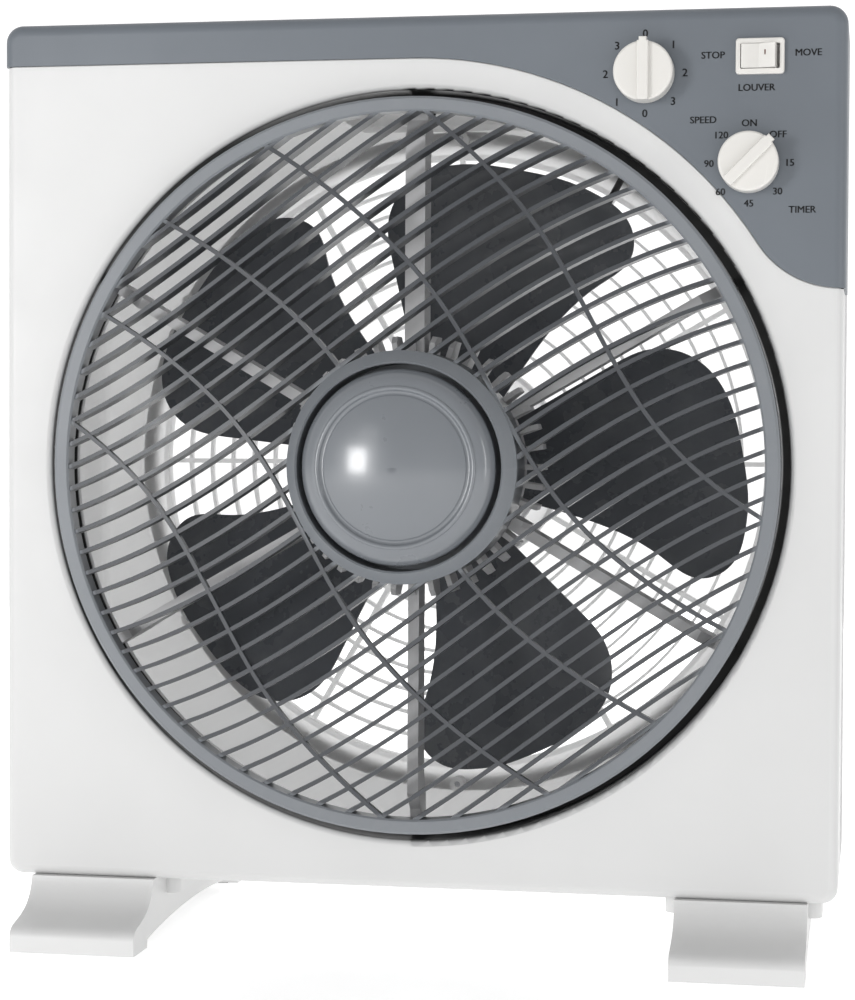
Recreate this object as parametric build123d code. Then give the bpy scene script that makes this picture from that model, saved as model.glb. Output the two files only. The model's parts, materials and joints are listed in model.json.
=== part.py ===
from build123d import *
from math import asin, cos, radians, sin, sqrt, tan
import os

# Box fan with a turning louvre grille. Millimetres, +Z up, the front faces -Y.
# The origin is on the floor, at the centre of the fan's footprint.
# Places along Y are written as depths: the distance behind the front face of the body.

# ---------------------------------------------------------------- driving dimensions
BODY_WIDTH = 380.0
BODY_HEIGHT = 391.0
BODY_DEPTH = 140.0
FOOT_HEIGHT = 30.0
FACE_Y = -63.5
JOINT_DEPTH = 60.0
WALL = 3.0
CORNER_RADIUS = 7.0
FRONT_EDGE_RADIUS = 4.5
BACK_EDGE_RADIUS = 9.0
AXIS_Z = FOOT_HEIGHT + 190.0

OPENING_RADIUS = 168.0
OPENING_LIP = 2.8
COLLAR_WALL = 2.8
COLLAR_BACK = 24.0

PANEL_PROUD = 1.0
PANEL_THICKNESS = 2.2
PANEL_BAND = 19.6
PANEL_ARC_RADIUS = BODY_HEIGHT + FOOT_HEIGHT - PANEL_BAND - AXIS_Z
PANEL_RIGHT_Z = 298.3
PANEL_SWEEP_RADIUS = 43.0
PANEL_GAP = 0.5

LOUVRE_RADIUS = 164.0
LOUVRE_BORE = 157.4
LOUVRE_FRONT = -9.0
LOUVRE_BACK = 4.5
LOUVRE_HUB_RADIUS = 51.3
LOUVRE_HUB_BORE = 45.4
LOUVRE_HUB_RISE = 5.0
LOUVRE_HUB_FRONT = -26.4
LOUVRE_DOME = 735.0
SLAT_LINE_ANGLE = 33.0
SLAT_PITCH = 9.86
SLAT_PHASE = 0.33
SLAT_WIDTH = 1.8
SLAT_DEPTH = 10.0
CROSS_RIB_PITCH = 52.2
CROSS_RIB_SHIFT = -1.0
CROSS_RIB_WIDTH = 1.8
CROSS_RIB_DEPTH = 3.0

CAP_RADIUS = 42.9
CAP_EDGE = -31.0
CAP_BEAD = (34.4, -39.6)
CAP_DOME_RADIUS = 31.2
CAP_DOME_START = -38.9
CAP_APEX = -45.0

SPIDER_FRONT = 7.0
SPIDER_BACK = 22.0
SPIDER_HUB_RADIUS = 49.0
SPIDER_FIN_RADIUS = 59.0
SPIDER_FINS = 40
SPIDER_ARM = 5.0
SPIDER_DUCT = 9.0
SPIDER_RIM_FRONT = 24.0
SPIDER_RIM_BACK = 27.0
SPIDER_EAR_RADIUS = 172.5

LOUVRE_MOTOR_RADIUS = 25.0
LOUVRE_MOTOR_FRONT = 5.0
LOUVRE_MOTOR_BACK = 21.0
LOUVRE_SHAFT_RADIUS = 3.5

BLADE_COUNT = 5
BLADE_FIRST_ANGLE = 71.7
BLADE_THICKNESS = 2.0
BLADE_PLANE = 69.0
IMPELLER_HUB_RADIUS = 38.0
IMPELLER_HUB_FRONT = 56.0
IMPELLER_HUB_BACK = 90.0

SHAFT_RADIUS = 4.0
SHAFT_FRONT = 44.0
SHAFT_BACK = 130.5
MOTOR_RADIUS = 43.0
MOTOR_FRONT = 94.0
MOTOR_BACK = 132.0
STACK_FRONT = 104.0
STACK_BACK = 122.0
ROTOR_RADIUS = 22.0
AIR_GAP = 0.4
RUNNING_CLEARANCE = 0.03

GUARD_BAND_RADIUS = 157.5
GUARD_HUB_RADIUS = 52.0
GUARD_RINGS = 8
GUARD_SPOKES = 12
GUARD_SPOKE_WIDTH = 2.2
GUARD_RING_WIDTH = 1.4
GUARD_FRONT = 132.0
GUARD_SCREW_RADIUS = 161.0

SPEED_AXIS = (103.5, 392.5)
TIMER_AXIS = (149.0, 352.8)
ROCKER_CENTRE = (153.4, 399.0)
KNOB_RADIUS = 13.0
KNOB_FRONT = -15.0
KNOB_RIB = 5.0
SPINDLE_RADIUS = 3.0
ROCKER_BEZEL = (21.0, 15.6)
ROCKER_TILT = 9.0

FOOT_INNER = 119.0
FOOT_OUTER = 177.0
FOOT_REACH = 102.0
FOOT_PAD_PROUD = 0.6
CASE_SCREW_X = 178.0
CASE_SCREW_Z = (42.0, 409.0)
CORD_INLET = (150.0, 62.0)
CORD_BORE_RADIUS = 3.6

PAD_SIZE = (46.0, 15.0)
PAD_REACH = 90.5
FOOT_SCREW_X = (FOOT_INNER + FOOT_OUTER) / 2
FOOT_SCREW_DEPTHS = (30.0, 110.0)

PIN_RADIUS = 1.5
PIN_DEPTH = 82.5
GUARD_PLATE_FRONT = 133.0
GUARD_PLATE_BACK = 135.5
MOUNT_RADIUS = 39.0
MOTOR_LEAD_RADIUS = 1.7
MOTOR_LEAD_DEPTH = 101.7
MOTOR_LEAD_ANGLE = 60.0
LEAD_RADIUS = 1.6

SPINDLE_FRONT = -12.0
SPEED_SWITCH_BACK = 19.0
TIMER_BACK = 33.0
TIMER_SCREW_X = 8.5
ROCKER_PIVOT_DEPTH = -0.5
ROCKER_BACK = 15.0

BODY_TOP = FOOT_HEIGHT + BODY_HEIGHT
SHELL_HEIGHT = BODY_HEIGHT - PANEL_PROUD
SHELL_WALL = 2.5
CASE_SCREWS = [(side * CASE_SCREW_X, z) for side in (-1, 1) for z in CASE_SCREW_Z]
WELL_SEAT = JOINT_DEPTH - 1.0
WELL_FLOOR = 3.0
SPIDER_ANGLES = [30.0 + 60.0 * step for step in range(6)]
GRIP_SIZE = (110.0, 22.0, 27.0)
GRIP_Z = 399.0
SHELL_OPENING = 158.0
POST_FRONT = 131.5
TERMINAL_CENTRE = (168.0, 100.0)
TERMINAL_POSTS = [(TERMINAL_CENTRE[0], TERMINAL_CENTRE[1] + side * 14.0) for side in (-1, 1)]
CAPACITOR_CENTRE = (-150.0, 388.0)
CAPACITOR_POSTS = [(CAPACITOR_CENTRE[0] - 24.0, CAPACITOR_CENTRE[1])]
LOUVRE_HUB_PLATE = (-12.0, -9.0)
LOUVRE_SHAFT_FRONT = -10.5
FOOT_MID_Y = FACE_Y + BODY_DEPTH / 2
parts = {}


# ---------------------------------------------------------------- shape helpers
def at(depth):
    """The Y of a depth behind the front face."""
    return FACE_Y + depth


def slab(sketch, front, back):
    """A front-view outline, drawn in X and Z, made solid between two depths."""
    plane = Plane(origin=(0, at(back), 0), x_dir=(1, 0, 0), z_dir=(0, -1, 0))
    return extrude(plane * sketch, amount=back - front)


def rod(radius, front, back, x=0.0, z=AXIS_Z):
    """A round bar along Y."""
    return slab(Pos(x, z) * Circle(radius), front, back)


def tube(outer, inner, front, back, x=0.0, z=AXIS_Z):
    """A round tube along Y."""
    return slab(Pos(x, z) * (Circle(outer) - Circle(inner)), front, back)


def block(width, height, front, back, x, z, corner=1.0):
    """A box with rounded edges along Y."""
    return slab(Pos(x, z) * RectangleRounded(width, height, corner), front, back)


def turned(points, x=0.0, z=AXIS_Z):
    """A solid of revolution about Y from (radius, depth) points."""
    plane = Plane(origin=(x, 0, z), x_dir=(1, 0, 0), z_dir=(0, 0, 1))
    profile = make_face(Polyline(*[(r, at(depth)) for r, depth in points], close=True))
    return revolve(plane * profile, axis=Axis((x, 0, z), (0, 1, 0)))


def around(count, radius, first=0.0, x=0.0, z=AXIS_Z):
    """Evenly spaced (x, z, angle) places on a circle, anticlockwise from +X."""
    places = []
    for step in range(count):
        angle = first + 360.0 * step / count
        places.append((x + radius * cos(radians(angle)), z + radius * sin(radians(angle)), angle))
    return places


def pan_screw(x, z, head_depth, length, shank=1.9, head=3.6, head_height=2.2, forward=True):
    """A pan-head screw along Y with a cross slot; forward means the point is towards the front."""
    sign = -1.0 if forward else 1.0
    seat = head_depth
    tip = seat + sign * length
    crown = seat - sign * head_height
    shaft = rod(shank, min(seat, tip), max(seat, tip), x, z)
    top = rod(head, min(seat, crown), max(seat, crown), x, z)
    slot_floor = seat - sign * head_height * 0.4
    slot_sketch = Pos(x, z) * (Rectangle(head * 1.1, 0.9) + Rectangle(0.9, head * 1.1))
    return shaft + top - slab(slot_sketch, min(slot_floor, crown), max(slot_floor, crown))


def lead(route, radius, bend=0.45):
    """A lead of round section along a route of (x, depth, z) points, with wide bends."""
    points = [Vector(x, at(depth), z) for x, depth, z in route]
    bends = []
    for before, here, after in zip(points, points[1:], points[2:]):
        turn = radians((here - before).get_angle(after - here))
        shorter = min((here - before).length, (after - here).length)
        bends.append(bend * shorter / tan(turn / 2))
    path = FilletPolyline(*points, radius=bends)
    return sweep(Plane(origin=path @ 0, z_dir=path % 0) * Circle(radius), path=path)


def keep(name, shape, colour):
    """Store one named sub-part."""
    shape.label = name
    shape.color = Color(*colour)
    parts[name] = shape


WHITE = (0.90, 0.90, 0.89)
SLATE = (0.45, 0.48, 0.51)
GREY = (0.50, 0.52, 0.54)
CHARCOAL = (0.22, 0.23, 0.25)
STEEL = (0.70, 0.71, 0.73)
COPPER = (0.72, 0.40, 0.22)
BRASS = (0.80, 0.66, 0.30)
BLACK = (0.08, 0.08, 0.08)


# ---------------------------------------------------------------- casing
def casing_outline(grow):
    """The rounded rectangle of the casing, grown or shrunk all round."""
    outline = RectangleRounded(BODY_WIDTH + 2 * grow, SHELL_HEIGHT + 2 * grow, CORNER_RADIUS + grow)
    return Pos(0, FOOT_HEIGHT + SHELL_HEIGHT / 2) * outline


def front_body(grow, back=JOINT_DEPTH):
    """The front half of the casing as a solid with a rounded front edge."""
    solid = slab(casing_outline(grow), -grow, back)
    front_edges = solid.faces().sort_by(Axis.Y)[0].edges()
    return fillet(front_edges, FRONT_EDGE_RADIUS + grow)


def panel_region(gap):
    """The front-view area above the panel's lower edge: a band, an arc round the opening, a sweep."""
    reach = BODY_WIDTH
    band_z = AXIS_Z + PANEL_ARC_RADIUS
    arc = PANEL_ARC_RADIUS + gap
    sweep_radius = PANEL_SWEEP_RADIUS - gap
    sweep_z = PANEL_RIGHT_Z + PANEL_SWEEP_RADIUS
    centres = PANEL_ARC_RADIUS + PANEL_SWEEP_RADIUS
    sweep_x = sqrt(centres ** 2 - (sweep_z - AXIS_Z) ** 2)
    tangent = asin((sweep_z - AXIS_Z) / centres)
    middle = (radians(90) + tangent) / 2
    join = (arc * cos(tangent), AXIS_Z + arc * sin(tangent))
    lowest = (sweep_x, sweep_z - sweep_radius)
    sweep_middle = radians(270) - (radians(90) - tangent) / 2
    edges = [
        Line((-reach, band_z + gap), (0, band_z + gap)),
        ThreePointArc((0, band_z + gap), (arc * cos(middle), AXIS_Z + arc * sin(middle)), join),
        ThreePointArc(
            join,
            (sweep_x + sweep_radius * cos(sweep_middle), sweep_z + sweep_radius * sin(sweep_middle)),
            lowest,
        ),
        Polyline(lowest, (reach, lowest[1]), (reach, BODY_TOP + 20), (-reach, BODY_TOP + 20),
                 (-reach, band_z + gap)),
    ]
    return make_face(edges)


def panel_layer(gap):
    """The layer the control panel fills: proud of the casing outside, let into it inside."""
    sink = PANEL_THICKNESS - PANEL_PROUD
    layer = front_body(PANEL_PROUD) - front_body(-sink, JOINT_DEPTH + 1)
    return layer & slab(panel_region(gap), -5, JOINT_DEPTH)


def control_holes(front, back):
    """Clearance through the panel and frame for the two spindles, timer screws and rocker."""
    holes = rod(4.6, front, back, *SPEED_AXIS) + rod(4.6, front, back, *TIMER_AXIS)
    for side in (-1, 1):
        holes += rod(1.5, front, back, TIMER_AXIS[0] + side * 8.5, TIMER_AXIS[1])
    return holes + block(18.6, 13.2, front, back, *ROCKER_CENTRE, corner=0.5)


def foot_boss(x, depth):
    """An upright screw boss on the casing floor."""
    plane = Plane(origin=(x, at(depth), FOOT_HEIGHT + 1))
    return extrude(plane * Circle(4.5), amount=15)


def foot_screw_hole(x, depth):
    """The hole up through the casing floor and its boss."""
    plane = Plane(origin=(x, at(depth), FOOT_HEIGHT - 1))
    return extrude(plane * Circle(1.9), amount=16)


def make_front_frame():
    frame = front_body(0) - front_body(-WALL, JOINT_DEPTH + 1)
    frame -= rod(OPENING_RADIUS, -1, WALL + 1)
    outer = OPENING_RADIUS + COLLAR_WALL
    frame += turned([
        (OPENING_RADIUS, 0), (outer + 1.2, 0), (outer + 1.2, 7), (outer, 9), (outer, COLLAR_BACK),
        (OPENING_RADIUS, COLLAR_BACK),
    ])
    lip = frame.edges().filter_by(GeomType.CIRCLE).filter_by(
        lambda edge: abs(edge.radius - OPENING_RADIUS) < 0.01 and abs(edge.center().Y - FACE_Y) < 0.01)
    frame = fillet(lip, OPENING_LIP)
    for x, z, _ in around(6, SPIDER_EAR_RADIUS, SPIDER_ANGLES[0]):
        frame += rod(4.2, WALL - 0.5, COLLAR_BACK, x, z)
        frame -= rod(1.4, WALL + 4, COLLAR_BACK + 1, x, z)
    for x, z in CASE_SCREWS:
        frame += rod(4.6, WALL - 0.5, WELL_SEAT - WELL_FLOOR, x, z)
        frame -= rod(1.9, WALL + 20, JOINT_DEPTH, x, z)
    for side in (-1, 1):
        frame += foot_boss(side * FOOT_SCREW_X, FOOT_SCREW_DEPTHS[0])
        frame -= foot_screw_hole(side * FOOT_SCREW_X, FOOT_SCREW_DEPTHS[0])
    frame -= panel_layer(0)
    return frame - control_holes(-3, WALL + 1)


def make_control_panel():
    return panel_layer(PANEL_GAP) - control_holes(-3, WALL + 1)


def make_rear_shell():
    solid = slab(casing_outline(0), JOINT_DEPTH, BODY_DEPTH)
    solid = fillet(solid.faces().sort_by(Axis.Y)[-1].edges(), BACK_EDGE_RADIUS)
    hollow = slab(casing_outline(-SHELL_WALL), JOINT_DEPTH - 1, BODY_DEPTH - SHELL_WALL)
    hollow = fillet(hollow.faces().sort_by(Axis.Y)[-1].edges(), CORNER_RADIUS - SHELL_WALL - 0.5)
    width, height, depth = GRIP_SIZE
    shell = solid - hollow
    shell += block(width + 5, height + 5, BODY_DEPTH - depth - 2.5, BODY_DEPTH, 0, GRIP_Z, corner=9)
    shell -= block(width, height, BODY_DEPTH - depth, BODY_DEPTH + 1, 0, GRIP_Z, corner=7)
    shell -= rod(SHELL_OPENING, BODY_DEPTH - 5, BODY_DEPTH + 1)
    rim = shell.edges().filter_by(GeomType.CIRCLE).filter_by(
        lambda edge: abs(edge.radius - SHELL_OPENING) < 0.01 and edge.center().Y > at(BODY_DEPTH) - 0.01)
    shell = fillet(rim, 1.8)
    for x, z in CASE_SCREWS:
        shell += rod(6.4, WELL_SEAT - WELL_FLOOR, BODY_DEPTH - 1, x, z)
        shell -= rod(4.4, WELL_SEAT, BODY_DEPTH + 1, x, z)
        shell -= rod(2.1, WELL_SEAT - WELL_FLOOR - 1, JOINT_DEPTH, x, z)
    for x, z, _ in around(6, GUARD_SCREW_RADIUS, SPIDER_ANGLES[0]):
        shell -= rod(1.5, BODY_DEPTH - 5, BODY_DEPTH + 1, x, z)
    for side in (-1, 1):
        shell += foot_boss(side * FOOT_SCREW_X, FOOT_SCREW_DEPTHS[1])
        shell -= foot_screw_hole(side * FOOT_SCREW_X, FOOT_SCREW_DEPTHS[1])
    for x, z in TERMINAL_POSTS + CAPACITOR_POSTS:
        shell += rod(3.2, POST_FRONT, BODY_DEPTH - SHELL_WALL, x, z)
        shell -= rod(1.3, POST_FRONT - 1, BODY_DEPTH - SHELL_WALL, x, z)
    return shell - rod(6.0, BODY_DEPTH - 5, BODY_DEPTH + 1, *CORD_INLET)


keep("front_frame", make_front_frame(), WHITE)
keep("control_panel", make_control_panel(), SLATE)
keep("rear_shell", make_rear_shell(), WHITE)


def make_case_screws():
    return Compound([pan_screw(x, z, WELL_SEAT, 16) for x, z in CASE_SCREWS])


keep("case_screws", make_case_screws(), STEEL)


# ---------------------------------------------------------------- louvre grille
def louvre_depth(radius):
    """Depth of the slats' front edges: a shallow dome from the hub down to the rim."""
    rim_depth = LOUVRE_FRONT + 1.5
    return rim_depth - (LOUVRE_BORE ** 2 - radius ** 2) / (2 * LOUVRE_DOME)


def dome_layer(front_offset, back_offset):
    """The domed ring between hub and rim, from one offset behind the dome surface to another."""
    inner = LOUVRE_HUB_RADIUS - 2
    outer = LOUVRE_BORE + 1
    middle = (inner + outer) / 2
    front = [(r, at(louvre_depth(r) + front_offset)) for r in (inner, middle, outer)]
    back = [(r, at(louvre_depth(r) + back_offset)) for r in (outer, middle, inner)]
    profile = make_face([
        ThreePointArc(*front),
        Line(front[2], back[0]),
        ThreePointArc(*back),
        Line(back[2], front[0]),
    ])
    plane = Plane(origin=(0, 0, AXIS_Z), x_dir=(1, 0, 0), z_dir=(0, 0, 1))
    return revolve(plane * profile, axis=Axis((0, 0, AXIS_Z), (0, 1, 0)))


def louvre_point(along, across):
    """A front-view point from distances along and across the slats."""
    angle = radians(SLAT_LINE_ANGLE)
    x = along * cos(angle) - across * sin(angle)
    z = along * sin(angle) + across * cos(angle)
    return (x, AXIS_Z + z)


def slat_across(centre, along):
    """Slats bend in a long, shallow S and close up slightly towards the rim."""
    return centre * (1 + 1.4e-6 * along ** 2) + 0.069 * along - 4.65e-6 * along ** 3


def cross_rib_along(centre, across):
    """Cross ribs bend the other way, more strongly near the rim."""
    sway = 0.077 * across - 1.97e-5 * across ** 3 + 3.0e-10 * across ** 5
    return centre * (1 + 5.1e-6 * across ** 2) + sway


def band(upper, lower):
    """A narrow area between two curves with the same number of points."""
    return make_face([
        Spline(*upper), Line(upper[-1], lower[-1]), Spline(*lower), Line(lower[0], upper[0]),
    ])


def slat_plates():
    """Every slat as a flat plate standing in the air stream."""
    stations = [-160.0, -80.0, 0.0, 80.0, 160.0]
    plates = []
    for step in range(-17, 17):
        number = step + SLAT_PHASE
        centre = SLAT_PITCH * number * (1 - 0.0197 * (number / 10) ** 2)
        sides = []
        for side in (0.5, -0.5):
            edge = centre + side * SLAT_WIDTH
            sides.append([louvre_point(s, slat_across(edge, s)) for s in stations])
        plates.append(slab(band(*sides), -40, 20))
    return plates


def cross_rib_plates():
    """The thin ribs that tie the slats together across their front edges."""
    stations = [-160.0, -107.0, -53.0, 0.0, 53.0, 107.0, 160.0]
    plates = []
    for step in range(-2, 3):
        sides = []
        for side in (0.5, -0.5):
            edge = step * CROSS_RIB_PITCH + CROSS_RIB_SHIFT + side * CROSS_RIB_WIDTH
            sides.append([louvre_point(cross_rib_along(edge, s), s) for s in stations])
        plates.append(slab(band(*sides), -40, 20))
    return plates


def make_louvre_grille():
    rim = turned([
        (LOUVRE_BORE, LOUVRE_FRONT + 0.8), (LOUVRE_BORE + 0.8, LOUVRE_FRONT),
        (LOUVRE_RADIUS - 1.2, LOUVRE_FRONT), (LOUVRE_RADIUS, LOUVRE_FRONT + 1.2),
        (LOUVRE_RADIUS, LOUVRE_BACK), (LOUVRE_RADIUS - 2, LOUVRE_BACK),
        (LOUVRE_RADIUS - 2, LOUVRE_FRONT + 3), (LOUVRE_BORE + 2, LOUVRE_FRONT + 3),
        (LOUVRE_BORE + 2, LOUVRE_BACK - 4), (LOUVRE_BORE, LOUVRE_BACK - 4),
    ])
    plate_front, plate_back = LOUVRE_HUB_PLATE
    ring_front = LOUVRE_HUB_FRONT - LOUVRE_HUB_RISE
    hub = turned([
        (LOUVRE_HUB_BORE, ring_front + 0.8), (LOUVRE_HUB_BORE + 0.8, ring_front),
        (LOUVRE_HUB_RADIUS - 1.2, LOUVRE_HUB_FRONT), (LOUVRE_HUB_RADIUS, LOUVRE_HUB_FRONT + 1.6),
        (LOUVRE_HUB_RADIUS, 0), (LOUVRE_HUB_RADIUS - 2.2, 0), (LOUVRE_HUB_RADIUS - 2.2, plate_back),
        (9, plate_back), (9, 1), (LOUVRE_SHAFT_RADIUS, 1), (LOUVRE_SHAFT_RADIUS, LOUVRE_SHAFT_FRONT),
        (1.5, LOUVRE_SHAFT_FRONT), (1.5, plate_front), (LOUVRE_HUB_BORE, plate_front),
    ])
    slats = Compound(slat_plates()) & dome_layer(0, SLAT_DEPTH)
    ribs = Compound(cross_rib_plates()) & dome_layer(-0.3, CROSS_RIB_DEPTH)
    return (rim + hub).fuse(*slats.solids(), *ribs.solids())


def make_louvre_cap():
    """The domed cap: a round shoulder, a bead, a groove and the dome."""
    dome_start = (CAP_DOME_RADIUS, CAP_DOME_START)
    height = CAP_DOME_START - CAP_APEX
    sphere = (CAP_DOME_RADIUS ** 2 + height ** 2) / (2 * height)
    half = CAP_DOME_RADIUS / 2

    def dome_point(radius, inset):
        shell = sphere - inset
        return (radius, at(CAP_APEX + sphere - sqrt(shell ** 2 - radius ** 2)))

    def place(*points):
        return [(r, at(depth)) for r, depth in points]

    skin = 1.8
    bead_radius, bead_front = CAP_BEAD
    edge = (CAP_RADIUS, CAP_EDGE)
    shoulder_end = (bead_radius + 1.2, bead_front + 1.0)
    groove_start = (bead_radius - 1.0, bead_front + 0.8)
    foot = (CAP_RADIUS, LOUVRE_HUB_PLATE[0])
    inside = place((bead_radius + 0.6, bead_front + 3.0), (CAP_RADIUS - 3.9, CAP_EDGE - 3.0),
                   (CAP_RADIUS - 2.0, CAP_EDGE + 1.0), (CAP_RADIUS - 2.0, LOUVRE_HUB_PLATE[0]), foot)
    inner_edge = dome_point(CAP_DOME_RADIUS - 1.0, skin)
    profile = make_face([
        Line(*place(foot, edge)),
        ThreePointArc(*place(edge, (CAP_RADIUS - 2.5, CAP_EDGE - 4.8), shoulder_end)),
        ThreePointArc(*place(shoulder_end, CAP_BEAD, groove_start)),
        ThreePointArc(*place(groove_start, (bead_radius - 2.2, bead_front + 1.4), dome_start)),
        ThreePointArc(place(dome_start)[0], dome_point(half, 0), (0, at(CAP_APEX))),
        Line((0, at(CAP_APEX)), (0, at(CAP_APEX + skin))),
        ThreePointArc((0, at(CAP_APEX + skin)), dome_point(half, skin), inner_edge),
        Polyline(inner_edge, *inside),
    ])
    plane = Plane(origin=(0, 0, AXIS_Z), x_dir=(1, 0, 0), z_dir=(0, 0, 1))
    return revolve(plane * profile, axis=Axis((0, 0, AXIS_Z), (0, 1, 0)))


keep("louvre_grille", make_louvre_grille(), GREY)
keep("louvre_cap", make_louvre_cap(), GREY)
keep("louvre_screw", pan_screw(0, AXIS_Z, LOUVRE_HUB_PLATE[0], 8, 1.5, 4.0, forward=False), STEEL)


# ---------------------------------------------------------------- spider and louvre motor
def spin(shape, angle):
    """Turn a shape about the fan's axis, anticlockwise seen from the front."""
    return shape.rotate(Axis((0, 0, AXIS_Z), (0, 1, 0)), -angle)


def radial_plate(points, width, angle):
    """A plate along a radius from (radius, depth) points, at an angle from +X."""
    plane = Plane(origin=(0, 0, AXIS_Z), x_dir=(1, 0, 0), z_dir=(0, 0, 1))
    profile = make_face(Polyline(*[(r, at(depth)) for r, depth in points], close=True))
    return spin(extrude(plane * profile, amount=width / 2, both=True), angle)


LOUVRE_LEAD_ROUTE = [
    (0, 14, AXIS_Z + 25), (0, 17, AXIS_Z + 41), (0, 25, AXIS_Z + 66), (0, 26, AXIS_Z + 116),
    (0, 31, AXIS_Z + 156), (12, 36, AXIS_Z + 178), (52, 38, AXIS_Z + 182),
    (100, 37, AXIS_Z + 181), (140, 38, AXIS_Z + 180), (ROCKER_CENTRE[0], 33, ROCKER_CENTRE[1]),
    (ROCKER_CENTRE[0], 15, ROCKER_CENTRE[1]),
]


def make_spider():
    inside_rim = OPENING_RADIUS - 3.5
    spider = tube(OPENING_RADIUS + COLLAR_WALL, inside_rim - 1, SPIDER_RIM_FRONT, SPIDER_RIM_BACK)
    arm = [
        (SPIDER_HUB_RADIUS - 1, SPIDER_FRONT), (148, SPIDER_FRONT), (156, SPIDER_FRONT + 7),
        (inside_rim, SPIDER_FRONT + 7), (inside_rim, SPIDER_RIM_BACK), (150, SPIDER_RIM_BACK),
        (140, SPIDER_BACK), (SPIDER_HUB_RADIUS - 1, SPIDER_BACK),
    ]
    for angle in SPIDER_ANGLES:
        width = SPIDER_DUCT if abs(angle - 90) < 1 else SPIDER_ARM
        spider += radial_plate(arm, width, angle)
    for x, z, _ in around(6, SPIDER_EAR_RADIUS, SPIDER_ANGLES[0]):
        spider += rod(4.6, SPIDER_RIM_FRONT, SPIDER_RIM_BACK, x, z)
    spider += tube(SPIDER_HUB_RADIUS, SPIDER_HUB_RADIUS - 2.5, 4, 24.5)
    spider += tube(SPIDER_HUB_RADIUS, 6, 22, 24.5)
    fin = [
        (SPIDER_HUB_RADIUS - 0.5, 4), (SPIDER_FIN_RADIUS - 3, 4), (SPIDER_FIN_RADIUS, 8),
        (SPIDER_FIN_RADIUS, 19), (SPIDER_HUB_RADIUS - 0.5, 22),
    ]
    fins = [radial_plate(fin, 2.4, 360.0 * step / SPIDER_FINS) for step in range(SPIDER_FINS)]
    spider = spider.fuse(*fins)
    for side in (-1, 1):
        spider += rod(4.2, LOUVRE_MOTOR_FRONT + 1, 23, side * 30.0)
        spider -= rod(1.4, LOUVRE_MOTOR_FRONT, 21, side * 30.0)
    for x, z, _ in around(6, SPIDER_EAR_RADIUS, SPIDER_ANGLES[0]):
        spider -= rod(1.6, SPIDER_RIM_FRONT - 1, SPIDER_RIM_BACK + 1, x, z)
    return spider - lead(LOUVRE_LEAD_ROUTE, LEAD_RADIUS + 0.5)


def make_louvre_motor_case():
    front, back = LOUVRE_MOTOR_FRONT, LOUVRE_MOTOR_BACK
    case = rod(LOUVRE_MOTOR_RADIUS, front, back)
    flange = slab(Pos(0, AXIS_Z) * SlotCenterToCenter(60.0, 9.0), front, front + 1)
    case = fillet(case.edges().filter_by(GeomType.CIRCLE), 1.0) + flange
    for side in (-1, 1):
        case -= rod(1.6, front - 1, front + 2, side * 30.0)
    case += tube(6.0, LOUVRE_SHAFT_RADIUS + RUNNING_CLEARANCE, front - 2.5, front + 1)
    return case - rod(LOUVRE_SHAFT_RADIUS + RUNNING_CLEARANCE, front - 3, back - 5)


def make_louvre_shaft():
    shaft = rod(LOUVRE_SHAFT_RADIUS, LOUVRE_SHAFT_FRONT, LOUVRE_MOTOR_BACK - 6)
    return shaft - rod(1.5, LOUVRE_SHAFT_FRONT - 1, LOUVRE_SHAFT_FRONT + 8)


keep("spider", make_spider(), WHITE)
keep("spider_screws", Compound([
    pan_screw(x, z, SPIDER_RIM_BACK, 14, 1.4, 2.8, 1.8)
    for x, z, _ in around(6, SPIDER_EAR_RADIUS, SPIDER_ANGLES[0])]), STEEL)
keep("louvre_motor_case", make_louvre_motor_case(), STEEL)
keep("louvre_motor_shaft", make_louvre_shaft(), BRASS)
keep("louvre_motor_screws", Compound([
    pan_screw(side * 30.0, AXIS_Z, LOUVRE_MOTOR_FRONT, 10, 1.4, 2.6, 1.6, forward=False)
    for side in (-1, 1)]), STEEL)


# ---------------------------------------------------------------- impeller
BLADE_OUTLINE = [
    (34, 19), (60, 33), (84, 46.5), (101, 54), (118, 52.5), (130, 44), (139, 28), (144, 5),
    (146, -15), (144.5, -30), (140, -43.5), (131, -51.5), (121, -53), (105, -43.5), (82, -30.5),
    (60, -23), (34, -16),
]
BLADE_PITCH = [(30.0, 38.0), (70.0, 30.0), (110.0, 25.0), (153.0, 22.0)]
BLADE_HALF_CHORD = 75.0
BLADE_CAMBER = 3.0


def blade_section(radius, pitch):
    """A cambered strip square to the blade's own radius."""
    plane = Plane(origin=(radius, 0, AXIS_Z), x_dir=(0, 0, 1), z_dir=(1, 0, 0))

    def place(across, offset):
        bulge = BLADE_CAMBER * (1 - (across / BLADE_HALF_CHORD) ** 2)
        depth = BLADE_PLANE - across * tan(radians(pitch)) + bulge + offset
        return (across, -at(depth))

    half = BLADE_THICKNESS / 2
    reach = BLADE_HALF_CHORD
    front = [place(q, -half) for q in (-reach, 0, reach)]
    back = [place(q, half) for q in (reach, 0, -reach)]
    return plane * make_face([
        ThreePointArc(*front), Line(front[2], back[0]), ThreePointArc(*back), Line(back[2], front[0]),
    ])


def make_blade():
    """One petal blade pointing along +X, cut off at the hub's wall."""
    edge = Spline(*BLADE_OUTLINE)
    outline = make_face([edge, Line(BLADE_OUTLINE[-1], BLADE_OUTLINE[0])])
    twisted = loft([blade_section(radius, pitch) for radius, pitch in BLADE_PITCH])
    blade = twisted & slab(Pos(0, AXIS_Z) * outline, 30, 110)
    return blade - rod(IMPELLER_HUB_RADIUS - 1, 20, 120)


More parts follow.
